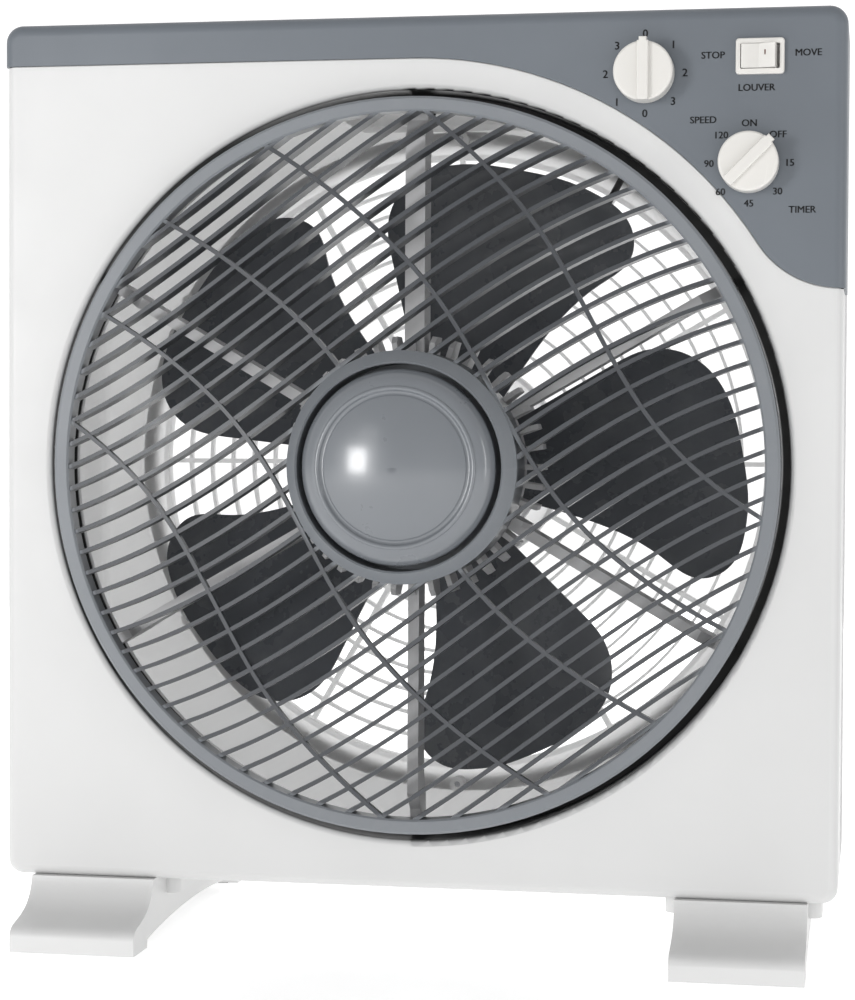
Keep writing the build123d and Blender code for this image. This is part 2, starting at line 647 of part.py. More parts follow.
def make_impeller():
    front, back, wall = IMPELLER_HUB_FRONT, IMPELLER_HUB_BACK, 2.5
    radius, boss_back = IMPELLER_HUB_RADIUS, PIN_DEPTH + PIN_RADIUS
    hub = turned([
        (SHAFT_RADIUS, front), (radius - 5, front), (radius - 1.5, front + 1.5), (radius, front + 5),
        (radius, back), (radius - wall, back), (radius - wall, front + 6), (radius - 6, front + wall),
        (9, front + wall), (9, boss_back), (SHAFT_RADIUS, boss_back),
    ])
    slot = slab(Pos(0, AXIS_Z) * Rectangle(20, 2 * PIN_RADIUS), PIN_DEPTH - PIN_RADIUS, boss_back + 1)
    hub -= slot
    blade = make_blade()
    blades = [spin(blade, BLADE_FIRST_ANGLE + 360.0 * step / BLADE_COUNT) for step in range(BLADE_COUNT)]
    return hub.fuse(*blades)


def make_impeller_nut():
    """The screw-on spinner that clamps the impeller to the shaft."""
    back = IMPELLER_HUB_FRONT
    nut = turned([
        (SHAFT_RADIUS, back), (14, back), (14, back - 6), (11, back - 9.5), (SHAFT_RADIUS, back - 9.5),
    ])
    for x, z, _ in around(6, 15.0):
        nut -= rod(2.2, back - 12, back - 1.5, x, z)
    return nut


def cross_pin(radius, length):
    """A pin along X through the shaft."""
    plane = Plane(origin=(-length / 2, at(PIN_DEPTH), AXIS_Z), x_dir=(0, 1, 0), z_dir=(1, 0, 0))
    return extrude(plane * Circle(radius), amount=length)


def make_motor_shaft():
    return rod(SHAFT_RADIUS, SHAFT_FRONT, SHAFT_BACK) - cross_pin(PIN_RADIUS, 20)


# ---------------------------------------------------------------- main motor
STACK_MIDDLE = (STACK_FRONT + STACK_BACK) / 2
BOLT_RADIUS = 39.5


def bell_profile():
    """The front bell's half section as (radius, depth) points."""
    return [
        (5, MOTOR_FRONT), (11, MOTOR_FRONT), (11, 97), (MOTOR_RADIUS, 97), (MOTOR_RADIUS, STACK_FRONT),
        (MOTOR_RADIUS - 2, STACK_FRONT), (MOTOR_RADIUS - 2, 99.5), (11, 99.5), (11, 101), (8, 101),
        (8, 95), (5, 95),
    ]


def bolt_places():
    return around(4, BOLT_RADIUS, 0.0)


def make_front_bell():
    bell = turned(bell_profile())
    for x, z, _ in bolt_places():
        bell -= rod(1.8, MOTOR_FRONT, STACK_FRONT, x, z)
        bell += tube(3.0, 1.8, 99, STACK_FRONT, x, z)
    return bell - spin(lead_hole(), MOTOR_LEAD_ANGLE)


def lead_hole():
    """The hole through the front bell's side for the motor lead."""
    plane = Plane(origin=(MOTOR_RADIUS - 4, at(MOTOR_LEAD_DEPTH), AXIS_Z), x_dir=(0, 1, 0),
                  z_dir=(1, 0, 0))
    return extrude(plane * Circle(MOTOR_LEAD_RADIUS + 0.2), amount=6)


def make_rear_bell():
    bell = turned([(radius, 2 * STACK_MIDDLE - depth) for radius, depth in bell_profile()])
    for x, z, _ in bolt_places():
        bell += tube(3.0, 1.8, STACK_BACK, 128, x, z)
        bell -= rod(1.8, STACK_BACK - 1, MOTOR_BACK + 1, x, z)
    for x, z, _ in around(4, MOUNT_RADIUS, 45.0):
        bell += rod(3.5, 127, GUARD_PLATE_FRONT, x, z)
        bell -= rod(1.5, 124, GUARD_PLATE_FRONT + 1, x, z)
    return bell


def stator_slots(clearance):
    """Eight closed slots round the stator, optionally drawn a little smaller."""
    slots = Sketch()
    for x, z, angle in around(8, 31.0, 22.5, 0, 0):
        slots += Pos(x, z) * Rot(0, 0, angle) * Rectangle(9 - clearance, 11 - clearance)
    return Pos(0, AXIS_Z) * slots


def make_stator():
    body = Circle(MOTOR_RADIUS) - Circle(ROTOR_RADIUS + AIR_GAP)
    stator = slab(Pos(0, AXIS_Z) * body, STACK_FRONT, STACK_BACK)
    stator -= slab(stator_slots(0), STACK_FRONT, STACK_BACK)
    for x, z, _ in bolt_places():
        stator -= rod(1.8, STACK_FRONT, STACK_BACK, x, z)
    return stator


def make_windings():
    windings = slab(stator_slots(0.4), STACK_FRONT, STACK_BACK)
    front = tube(35.5, 25.5, STACK_FRONT - 3.8, STACK_FRONT)
    back = tube(35.5, 25.5, STACK_BACK, STACK_BACK + 3.8)
    return front + windings + back


def make_rotor():
    rotor = tube(ROTOR_RADIUS, SHAFT_RADIUS, STACK_FRONT, STACK_BACK)
    rotor += tube(20, 14, STACK_FRONT - 2.5, STACK_FRONT)
    return rotor + tube(20, 14, STACK_BACK, STACK_BACK + 2.5)


def make_thrust_washers():
    front = tube(6.5, SHAFT_RADIUS, 101.3, STACK_FRONT)
    return Compound([front, tube(6.5, SHAFT_RADIUS, STACK_BACK, 124.7)])


def make_motor_bolts():
    bolts = []
    for x, z, _ in bolt_places():
        bolts.append(pan_screw(x, z, 97, 35, 1.7, 3.2, 2.2, forward=False))
    return Compound(bolts)


def make_motor_nuts():
    nuts = []
    for x, z, _ in bolt_places():
        outline = Pos(x, z) * (RegularPolygon(3.2, 6) - Circle(1.7))
        nuts.append(slab(outline, 129, 131.2))
    return Compound(nuts)


keep("impeller", make_impeller(), CHARCOAL)
keep("impeller_nut", make_impeller_nut(), CHARCOAL)
keep("drive_pin", cross_pin(PIN_RADIUS, 14), STEEL)
keep("motor_shaft", make_motor_shaft(), STEEL)
keep("rotor", make_rotor(), STEEL)
keep("stator", make_stator(), STEEL)
keep("windings", make_windings(), COPPER)
keep("front_bell", make_front_bell(), STEEL)
keep("rear_bell", make_rear_bell(), STEEL)
keep("front_bearing", tube(8, SHAFT_RADIUS + RUNNING_CLEARANCE, 95, 101), BRASS)
keep("rear_bearing", tube(8, SHAFT_RADIUS + RUNNING_CLEARANCE, 125, 131), BRASS)
keep("thrust_washers", make_thrust_washers(), BLACK)
keep("motor_bolts", make_motor_bolts(), STEEL)
keep("motor_nuts", make_motor_nuts(), STEEL)
keep("motor_mount_screws", Compound([
    pan_screw(x, z, GUARD_PLATE_BACK, 10, 1.5, 2.8, 2.0)
    for x, z, _ in around(4, MOUNT_RADIUS, 45.0)]), STEEL)


# ---------------------------------------------------------------- rear guard
def make_rear_guard():
    inner_band, outer_band = GUARD_BAND_RADIUS - 6.5, GUARD_BAND_RADIUS - 4
    guard = tube(GUARD_HUB_RADIUS, GUARD_HUB_RADIUS - 2, GUARD_PLATE_FRONT - 3, BODY_DEPTH)
    guard += rod(GUARD_HUB_RADIUS - 1, GUARD_PLATE_FRONT, GUARD_PLATE_BACK)
    guard += tube(outer_band, inner_band, GUARD_FRONT, BODY_DEPTH)
    flange_back = BODY_DEPTH - SHELL_WALL
    guard += tube(GUARD_SCREW_RADIUS + 4, outer_band - 0.5, flange_back - 2.5, flange_back)
    spoke = [(GUARD_HUB_RADIUS - 1, GUARD_FRONT + 1.5), (inner_band + 1, GUARD_FRONT + 1.5),
             (inner_band + 1, BODY_DEPTH), (GUARD_HUB_RADIUS - 1, BODY_DEPTH)]
    for step in range(GUARD_SPOKES):
        guard += radial_plate(spoke, GUARD_SPOKE_WIDTH, 360.0 * step / GUARD_SPOKES)
    pitch = (inner_band - GUARD_HUB_RADIUS) / (GUARD_RINGS + 1)
    for step in range(1, GUARD_RINGS + 1):
        inner = GUARD_HUB_RADIUS + pitch * step - GUARD_RING_WIDTH / 2
        guard += tube(inner + GUARD_RING_WIDTH, inner, GUARD_FRONT + 2, BODY_DEPTH - 1)
    for x, z, _ in around(6, GUARD_SCREW_RADIUS, SPIDER_ANGLES[0]):
        guard += rod(3.6, flange_back - 10, flange_back - 1, x, z)
        guard -= rod(1.5, flange_back - 11, flange_back + 1, x, z)
    for x, z, _ in around(4, MOUNT_RADIUS, 45.0):
        guard -= rod(1.5, GUARD_PLATE_FRONT - 1, GUARD_PLATE_BACK + 1, x, z)
    return guard - rod(12.5, GUARD_PLATE_FRONT - 1, GUARD_PLATE_FRONT + 0.8)


keep("rear_guard", make_rear_guard(), WHITE)
keep("rear_guard_screws", Compound([
    pan_screw(x, z, BODY_DEPTH, 11, 1.5, 2.8, 1.8)
    for x, z, _ in around(6, GUARD_SCREW_RADIUS, SPIDER_ANGLES[0])]), STEEL)


# ---------------------------------------------------------------- controls
def make_knob(centre, angle):
    """A disc knob with a full-width grip rib and a pointer nub, turned clockwise from upright."""
    x, z = centre
    cap = rod(KNOB_RADIUS, KNOB_FRONT + 2.5, -2.5, x, z)
    cap = fillet(cap.faces().sort_by(Axis.Y)[0].edges(), 1.2)
    bar = Rectangle(KNOB_RIB, 2 * KNOB_RADIUS) & Circle(KNOB_RADIUS - 0.1)
    bar += Pos(0, KNOB_RADIUS - 0.5) * Rectangle(3.4, 3.6)
    rib = slab(Pos(x, z) * Rot(0, 0, -angle) * bar, KNOB_FRONT, KNOB_FRONT + 4)
    front_edges = rib.faces().sort_by(Axis.Y)[0].edges()
    cap += fillet(front_edges, 0.6)
    hollow = tube(KNOB_RADIUS - 2, 5.5, KNOB_FRONT + 5, -2, x, z)
    cap -= hollow
    cap -= rod(6, -4, -2, x, z)
    return cap - rod(SPINDLE_RADIUS, SPINDLE_FRONT, 0, x, z)


def make_spindle(centre, back):
    """A round control spindle with a snap ring groove."""
    x, z = centre
    spindle = rod(SPINDLE_RADIUS, SPINDLE_FRONT, back, x, z)
    return spindle - tube(SPINDLE_RADIUS + 1, SPINDLE_RADIUS - 0.4, 5, 6, x, z)


def spade(x, z, front, width=4.8, upright=True):
    """A flat push-on terminal."""
    size = (0.8, width) if upright else (width, 0.8)
    return block(size[0], size[1], front, front + 8, x, z, corner=0.3)


def make_speed_switch():
    x, z = SPEED_AXIS
    body = block(30, 30, WALL, SPEED_SWITCH_BACK, x, z, corner=2) + rod(4.5, -3.6, WALL + 1, x, z)
    return body - rod(SPINDLE_RADIUS + RUNNING_CLEARANCE, -4, 12, x, z)


def make_speed_nut():
    x, z = SPEED_AXIS
    outline = Pos(x, z) * (RegularPolygon(7.4, 6) - Circle(4.5))
    return slab(outline, -PANEL_PROUD - 2.2, -PANEL_PROUD)


def make_speed_terminals():
    x, z = SPEED_AXIS
    return Compound([spade(x + shift, z + 8, SPEED_SWITCH_BACK) for shift in (-9, -3, 3, 9)])


def make_timer_case():
    x, z = TIMER_AXIS
    case = block(38, 38, WALL, TIMER_BACK, x, z, corner=3) + rod(4.5, -0.5, WALL + 1, x, z)
    for side in (-1, 1):
        case -= rod(1.3, WALL, WALL + 9, x + side * TIMER_SCREW_X, z)
    return case - rod(SPINDLE_RADIUS + RUNNING_CLEARANCE, -4, 12, x, z)


def make_timer_screws():
    x, z = TIMER_AXIS
    return Compound([
        pan_screw(x + side * TIMER_SCREW_X, z, -PANEL_PROUD, 11, 1.3, 2.1, 1.4, forward=False)
        for side in (-1, 1)])


def pivot_bar(radius, length):
    """A bar along Z through the rocker's pivot."""
    x, z = ROCKER_CENTRE
    plane = Plane(origin=(x, at(ROCKER_PIVOT_DEPTH), z - length / 2))
    return extrude(plane * Circle(radius), amount=length)


def make_rocker_housing():
    x, z = ROCKER_CENTRE
    bezel = block(*ROCKER_BEZEL, -PANEL_PROUD - 2.2, -PANEL_PROUD, x, z, corner=1.5)
    bezel = fillet(bezel.faces().sort_by(Axis.Y)[0].edges(), 0.7)
    housing = bezel + block(18.6, 13.2, -PANEL_PROUD - 1, ROCKER_BACK, x, z, corner=0.5)
    housing -= block(17, 11, -5, 4, x, z, corner=0.5)
    return housing - pivot_bar(1.26, 12.6)


def make_rocker():
    """A rocker with a shallow V face, tipped so that its left end is pressed in."""
    x, z = ROCKER_CENTRE
    plane = Plane(origin=(x, 0, z - 5.2))
    outline = make_face(Polyline(
        *[(across, at(depth)) for across, depth in [
            (-7.4, -5.5), (0, -3.9), (7.4, -5.5), (7.4, -0.6), (3.2, 2.4), (-3.2, 2.4), (-7.4, -0.6)]],
        close=True))
    rocker = extrude(plane * outline, amount=10.4) + pivot_bar(1.2, 12.2)
    pivot = Axis((x, at(ROCKER_PIVOT_DEPTH), z), (0, 0, 1))
    return rocker.rotate(pivot, -ROCKER_TILT)


def make_rocker_terminals():
    x, z = ROCKER_CENTRE
    return Compound([spade(x + side * 5.5, z, ROCKER_BACK) for side in (-1, 1)])


keep("speed_knob", make_knob(SPEED_AXIS, 0), WHITE)
keep("speed_switch", make_speed_switch(), BLACK)
keep("speed_spindle", make_spindle(SPEED_AXIS, 10), STEEL)
keep("speed_nut", make_speed_nut(), STEEL)
keep("speed_terminals", make_speed_terminals(), BRASS)
keep("timer_knob", make_knob(TIMER_AXIS, 45), WHITE)
keep("timer_case", make_timer_case(), BLACK)
keep("timer_spindle", make_spindle(TIMER_AXIS, 10), STEEL)
keep("timer_screws", make_timer_screws(), STEEL)
keep("rocker_housing", make_rocker_housing(), BLACK)
keep("rocker", make_rocker(), WHITE)
keep("rocker_terminals", make_rocker_terminals(), BRASS)


# ---------------------------------------------------------------- electrics on the rear shell
def make_terminal_block():
    x, z = TERMINAL_CENTRE
    base = block(16, 38, 117, POST_FRONT, x, z, corner=1.5)
    for post_x, post_z in TERMINAL_POSTS:
        base -= rod(2.9, 116, 128.5, post_x, post_z)
        base -= rod(1.5, 128, POST_FRONT + 1, post_x, post_z)
    for step in (-1, 0, 1):
        base -= rod(1.8, 116, 122, x, z + 6 * step)
    return base


def make_capacitor():
    x, z = CAPACITOR_CENTRE
    case = block(40, 24, 116, BODY_DEPTH - SHELL_WALL, x, z, corner=2)
    tab = block(16, 10, POST_FRONT - 2, POST_FRONT, x - 24, z, corner=2)
    return case + (tab - rod(1.5, POST_FRONT - 3, POST_FRONT + 1, *CAPACITOR_POSTS[0]))


def make_cord_bushing():
    x, z = CORD_INLET
    return turned([
        (CORD_BORE_RADIUS, 130), (6, 130), (7.4, 134), (7.4, 137.5), (6, 137.5), (6, 140), (9, 140),
        (9, 142), (6, 142.6), (5.6, 146), (CORD_BORE_RADIUS, 146)], x, z)


keep("terminal_block", make_terminal_block(), WHITE)
keep("terminal_screws", Compound([
    pan_screw(x, z, 128.5, 8, 1.3, 2.6, 1.8, forward=False) for x, z in TERMINAL_POSTS]), STEEL)
keep("capacitor", make_capacitor(), BLACK)
keep("capacitor_screw", pan_screw(*CAPACITOR_POSTS[0], POST_FRONT - 2, 7, 1.3, 2.6, 1.8,
                                  forward=False), STEEL)
keep("cord_bushing", make_cord_bushing(), BLACK)


# ---------------------------------------------------------------- feet
def make_foot(side):
    """One long foot, the same at front and back, hollow from below."""
    bottom, top = FOOT_PAD_PROUD, FOOT_HEIGHT
    toe = [(FOOT_REACH, bottom), (FOOT_REACH, 7.5)]
    slope = [(FOOT_REACH, 7.5), (100.3, 10.8), (95, 12.8), (86, 15.2), (78, 19.2), (73.5, 24.5),
             (71.5, top)]
    step = [(FOOT_REACH - 21, bottom), (FOOT_REACH - 22, 4.5)]
    mirrored = [(-across, height) for across, height in reversed(slope)]
    outline = make_face([
        Line(*toe), Spline(*slope), Line(slope[-1], mirrored[0]), Spline(*mirrored),
        Polyline((-FOOT_REACH, 7.5), (-FOOT_REACH, bottom), (-step[0][0], bottom), (-step[1][0], 4.5)),
        ThreePointArc((-step[1][0], 4.5), (0, 9.5), step[1]),
        Line(step[1], step[0]), Line(step[0], toe[0]),
    ])
    width = FOOT_OUTER - FOOT_INNER
    plane = Plane(origin=(FOOT_INNER, FOOT_MID_Y, 0), x_dir=(0, 1, 0), z_dir=(1, 0, 0))
    foot = extrude(plane * outline, amount=width)
    middle = (FOOT_INNER + FOOT_OUTER) / 2
    flange = Pos(middle, FOOT_MID_Y, 25) * Box(width + 12, 100, 10)
    foot += fillet(flange.edges().filter_by(Axis.Z), 5)
    foot -= Pos(middle, FOOT_MID_Y, 13.5) * Box(width - 6, 134, 27)
    for end in (-1, 1):
        recess = Pos(middle, FOOT_MID_Y + end * PAD_REACH, 1.0) * Box(*PAD_SIZE, 3.2)
        foot -= recess
    for depth in FOOT_SCREW_DEPTHS:
        foot -= foot_screw_hole(middle, depth) + upright_rod(2.1, middle, depth, 20, 31)
    return foot if side > 0 else mirror(foot, about=Plane.YZ)


def upright_rod(radius, x, depth, bottom, top):
    """A round bar along Z."""
    return extrude(Plane(origin=(x, at(depth), bottom)) * Circle(radius), amount=top - bottom)


def make_foot_screws():
    screws = []
    seat = FOOT_HEIGHT - WALL
    for side in (-1, 1):
        for depth in FOOT_SCREW_DEPTHS:
            x = side * FOOT_SCREW_X
            screw = upright_rod(1.9, x, depth, seat, seat + 16)
            head = upright_rod(3.8, x, depth, seat - 2.2, seat)
            slot = Pos(x, at(depth), seat - 1.9) * (Box(8.4, 0.9, 0.9) + Box(0.9, 8.4, 0.9))
            screws.append(screw + head - slot)
    return Compound(screws)


def make_foot_pads():
    pads = []
    for side in (-1, 1):
        for end in (-1, 1):
            y = FOOT_MID_Y + end * PAD_REACH
            pads.append(Pos(side * FOOT_SCREW_X, y, 1.3) * Box(*PAD_SIZE, 2.6))
    return Compound(pads)


keep("left_foot", make_foot(-1), WHITE)
keep("right_foot", make_foot(1), WHITE)
keep("foot_screws", make_foot_screws(), STEEL)
keep("foot_pads", make_foot_pads(), BLACK)


# ---------------------------------------------------------------- leads inside the casing
def motor_lead_route():
    """Along one radius from the motor's front bell, behind the blades and forward to the switch."""
    angle = radians(MOTOR_LEAD_ANGLE)
    stops = [(35.5, MOTOR_LEAD_DEPTH), (53, MOTOR_LEAD_DEPTH), (72, 126), (118, 127.5), (165, 126),
             (184, 112), (187, 64), (186, SPEED_SWITCH_BACK)]
    return [(r * cos(angle), depth, AXIS_Z + r * sin(angle)) for r, depth in stops]


SWITCH_LEAD_ROUTE = [
    (149, TIMER_BACK, 352.8), (146, 52, 356), (128, 58, 370), (113, 46, 383),
    (112, SPEED_SWITCH_BACK, 384),
]
SUPPLY_LEAD_ROUTE = [
    (168, 124, 119), (168, 124, 137), (178, 118, 165), (180, 114, 215), (178, 112, 265),
    (174, 98, 310), (160, 60, 340), (155, TIMER_BACK, 345),
]
CAPACITOR_LEAD_ROUTE = [
    (-130, 123, 388), (-110, 123, 388), (-85, 100, 396), (-40, 80, 402), (10, 74, 404),
    (55, 62, 400), (82, 46, 391), (97, 34, 388), (97, SPEED_SWITCH_BACK, 388),
]

keep("louvre_lead", lead(LOUVRE_LEAD_ROUTE, LEAD_RADIUS), BLACK)
keep("motor_lead", lead(motor_lead_route(), MOTOR_LEAD_RADIUS), BLACK)
keep("switch_lead", lead(SWITCH_LEAD_ROUTE, LEAD_RADIUS), BLACK)
keep("supply_lead", lead(SUPPLY_LEAD_ROUTE, MOTOR_LEAD_RADIUS), BLACK)
keep("capacitor_lead", lead(CAPACITOR_LEAD_ROUTE, LEAD_RADIUS), BLACK)


# The grille has thousands of curved edges, so its file leaves out each edge's copy on its faces.
os.makedirs("parts", exist_ok=True)
for name, shape in parts.items():
    export_step(shape, f"parts/{name}.step", write_pcurves=name != "louvre_grille")
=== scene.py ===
import json
import math

import bpy
from mathutils import Matrix, Vector


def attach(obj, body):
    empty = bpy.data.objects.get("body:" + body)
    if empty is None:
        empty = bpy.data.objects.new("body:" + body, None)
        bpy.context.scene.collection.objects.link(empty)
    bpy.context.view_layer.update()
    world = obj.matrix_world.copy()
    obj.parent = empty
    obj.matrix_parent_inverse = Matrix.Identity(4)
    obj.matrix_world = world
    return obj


# Box fan with a turning louvre: camera, light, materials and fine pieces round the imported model.
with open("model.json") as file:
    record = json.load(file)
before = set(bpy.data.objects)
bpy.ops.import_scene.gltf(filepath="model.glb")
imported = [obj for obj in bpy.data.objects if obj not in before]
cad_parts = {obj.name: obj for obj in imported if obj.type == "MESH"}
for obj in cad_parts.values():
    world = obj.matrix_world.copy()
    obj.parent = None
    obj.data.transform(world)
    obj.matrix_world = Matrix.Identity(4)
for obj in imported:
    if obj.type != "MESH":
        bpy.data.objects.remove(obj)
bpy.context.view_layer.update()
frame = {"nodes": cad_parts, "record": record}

# Places and lengths are in metres, angles in degrees, powers in watts; colours are linear.
MM = 0.001
FAN_AXIS_Z = 220 * MM
CASING_FACE_Y = -63.5 * MM
PANEL_FACE_Y = -64.5 * MM

CAMERA_PLACE = (0.204, -1.1415, 0.238)
CAMERA_YAW = 10.33
CAMERA_PITCH = 1.72
CAMERA_ROLL = 0.27
LENS_MM = 88.308
SENSOR_MM = 36.0

FRONT_SKY = 0.45
REAR_SKY = 1.15
SKY_BLEND = (-0.1, 0.7)
# name, place, width, height, power, mirrored in shiny surfaces
LIGHTS = [
    ("fill_front", (0.45, -1.9, 0.45), 0.7, 0.7, 4, False),
    ("fill_back", (-0.3, 1.9, 0.6), 1.2, 0.9, 18, False),
    ("key_left", (-1.13, -1.77, 0.34), 0.42, 0.5, 11, True),
    ("glow_left", (-1.0, -2.0, 0.3), 0.5, 1.7, 3, True),
    ("strip_right", (1.8, -0.7, 0.4), 0.12, 0.9, 2.5, True),
]
FLOOR_HALF = 6.0
FLOOR_COLOUR = (0.93, 0.93, 0.93)
FLOOR_GLOW = 0.5

# Noise scales, bump depths and colours of the finishes.
CLOUD_SCALE = 14.0
SMEAR_SCALE = 30.0
DUST_SCALE = 60.0
DUST_COLOUR = (0.55, 0.54, 0.52)
GRAIN_SCALE = 2600.0
GRAIN_DEPTH = 0.00002
REPAINT_SCALE = 40.0
EDGE_POINTINESS = (0.52, 0.62)
MOTTLE_SCALE = 120.0
STAIN_SCALE = 35.0
SCRATCH_SCALE = 900.0
SCRATCH_STRETCH = (1.0, 12.0, 1.0)
SCRATCH_DEPTH = 0.00001
WIRE_PITCH = 0.0006
WIRE_DEPTH = 0.0003
WAVE_TURN = 6.2832
SHEET_SCALE = 300.0
SHEET_DEPTH = 0.0001

# Distances from the fan's axis over which the painted shade of the slats and of the gap sets in or
# ends.
SLAT_SHADE_START = (0.0514, 0.054)
SLAT_SHADE_END = (0.1555, 0.1573)
GAP_INNER = (0.1636, 0.1641)
GAP_OUTER = (0.1686, 0.1692)
# How far behind the casing's face the painted shade in the gap sets in.
GAP_DEPTH = (0.001, 0.0022)
GAP_PAINTED_SHADE = (0.006, 0.006, 0.006)

PASSED_COLOUR = (0.95, 0.95, 0.95)
# node: material's name, colour, share of the shading that is light let through
THIN_WHITE = {
    "rear_shell": ("rear_plastic", (0.74, 0.74, 0.74), 0.45),
    "rear_guard": ("guard_plastic", (0.78, 0.78, 0.78), 0.7),
}

# Lettering: centres of the dials and words on the panel, as x and z.
SPEED_AXIS = (0.1035, 0.3925)
TIMER_AXIS = (0.1490, 0.3528)
MARK_RADIUS = 0.0174
MARK_STEP = 45
SPEED_MARKS = ["0", "1", "2", "3", "0", "1", "2", "3"]
TIMER_MARKS = ["ON", "OFF", "15", "30", "45", "60", "90", "120"]
WORDS = [
    ("STOP", 0.1330, 0.3998), ("MOVE", 0.1741, 0.4002), ("LOUVER", 0.1519, 0.3855),
    ("SPEED", 0.1290, 0.3718), ("TIMER", 0.1720, 0.3325),
]
LETTER_HEIGHT = 0.0030
DIGIT_HEIGHT = 0.0034
CAPITAL_SHARE = 0.7
BOLDER = 0.00013
INK_THICKNESS = 0.00008

ROCKER_MARK = (0.1556, 0.4003)
ROCKER_MARK_SIZE = (0.0006, 0.0022)
ROCKER_MARK_LIFTS = (0.2, 1)
RAY_REACH = 0.2


# ---------------------------------------------------------------- camera
def make_camera():
    yaw, pitch, roll = (math.radians(a) for a in (CAMERA_YAW, CAMERA_PITCH, CAMERA_ROLL))
    forward = Vector((
        -math.sin(yaw) * math.cos(pitch), math.cos(yaw) * math.cos(pitch), -math.sin(pitch)))
    level = Vector((math.cos(yaw), math.sin(yaw), 0))
    up = level.cross(forward)
    right = math.cos(roll) * level + math.sin(roll) * up
    up = -math.sin(roll) * level + math.cos(roll) * up
    turn = Matrix((right, up, -forward)).transposed()
    data = bpy.data.cameras.new("camera")
    data.sensor_width = SENSOR_MM
    data.lens = LENS_MM
    data.dof.use_dof = False
    camera = bpy.data.objects.new("camera", data)
    camera.matrix_world = Matrix.Translation(CAMERA_PLACE) @ turn.to_4x4()
    bpy.context.scene.collection.objects.link(camera)
    bpy.context.scene.camera = camera


# ---------------------------------------------------------------- light and floor
def aim(obj, place, target):
    """Put a light somewhere and point it at a target."""
    obj.location = place
    obj.rotation_mode = "QUATERNION"
    obj.rotation_quaternion = (Vector(target) - Vector(place)).to_track_quat("-Z", "Y")


def softbox(name, place, width, height, power, mirrored):
    """A rectangular soft light facing the fan, which shiny surfaces may mirror or not."""
    data = bpy.data.lights.new(name, "AREA")
    data.shape = "RECTANGLE"
    data.size = width
    data.size_y = height
    data.energy = power
    obj = bpy.data.objects.new(name, data)
    obj.visible_glossy = mirrored
    obj.visible_camera = False
    aim(obj, place, (0, 0, FAN_AXIS_Z))
    bpy.context.scene.collection.objects.link(obj)


def make_sky():
    """A white studio: brightest behind the fan, dimmer on the side that the lights stand on."""
    world = bpy.data.worlds.new("studio")
    world.use_nodes = True
    tree = world.node_tree
    direction = tree.nodes.new("ShaderNodeTexCoord").outputs["Generated"]
    split = tree.nodes.new("ShaderNodeSeparateXYZ")
    tree.links.new(direction, split.inputs[0])
    strength = remap(tree, split.outputs["Y"], FRONT_SKY, REAR_SKY, *SKY_BLEND)
    background = tree.nodes["Background"]
    background.inputs["Color"].default_value = (1, 1, 1, 1)
    tree.links.new(strength, background.inputs["Strength"])
    bpy.context.scene.world = world


def make_light():
    make_sky()
    for light in LIGHTS:
        softbox(*light)


def make_floor():
    """A lit white table top, as in a light tent."""
    size = FLOOR_HALF
    mesh = bpy.data.meshes.new("floor")
    corners = [(-size, -size, 0), (size, -size, 0), (size, size, 0), (-size, size, 0)]
    mesh.from_pydata(corners, [], [(0, 1, 2, 3)])
    floor = bpy.data.objects.new("floor", mesh)
    bpy.context.scene.collection.objects.link(floor)
    paint = plastic("floor_paint", FLOOR_COLOUR, roughness=0.9, grain=0.0)
    shader = paint.node_tree.nodes["Principled BSDF"]
    shader.inputs["Specular IOR Level"].default_value = 0.0
    shader.inputs["Emission Color"].default_value = (1, 1, 1, 1)
    shader.inputs["Emission Strength"].default_value = FLOOR_GLOW
    mesh.materials.append(paint)


# ---------------------------------------------------------------- materials
def principled(name):
    material = bpy.data.materials.new(name)
    material.use_nodes = True
    tree = material.node_tree
    return material, tree, tree.nodes["Principled BSDF"]


def object_place(tree):
    node = tree.nodes.new("ShaderNodeTexCoord")
    return node.outputs["Object"]


def noise(tree, place, scale, detail=3.0, rough=0.5):
    node = tree.nodes.new("ShaderNodeTexNoise")
    node.inputs["Scale"].default_value = scale
    node.inputs["Detail"].default_value = detail
    node.inputs["Roughness"].default_value = rough
    tree.links.new(place, node.inputs["Vector"])
    return node.outputs["Fac"]


def remap(tree, value, low, high, from_low=0.0, from_high=1.0):
    node = tree.nodes.new("ShaderNodeMapRange")
    for label, number in (("From Min", from_low), ("From Max", from_high),
                          ("To Min", low), ("To Max", high)):
        node.inputs[label].default_value = number
    tree.links.new(value, node.inputs["Value"])
    return node.outputs["Result"]


def mix_colour(tree, share, first, second):
    node = tree.nodes.new("ShaderNodeMix")
    node.data_type = "RGBA"
    tree.links.new(share, node.inputs[0])
    # A mix node's two colour sockets are its seventh and eighth.
    for socket, value in ((node.inputs[6], first), (node.inputs[7], second)):
        if hasattr(value, "is_output"):
            tree.links.new(value, socket)
        else:
            socket.default_value = (*value, 1.0)
    return node.outputs[2]


def bump(tree, shader, height, distance, strength=1.0):
    node = tree.nodes.new("ShaderNodeBump")
    node.inputs["Distance"].default_value = distance
    node.inputs["Strength"].default_value = strength
    tree.links.new(height, node.inputs["Height"])
    tree.links.new(node.outputs["Normal"], shader.inputs["Normal"])


def edge_share(tree):
    """Where the surface is a convex edge, from 0 on flat faces to 1."""
    node = tree.nodes.new("ShaderNodeNewGeometry")
    return remap(tree, node.outputs["Pointiness"], 0.0, 1.0, *EDGE_POINTINESS)


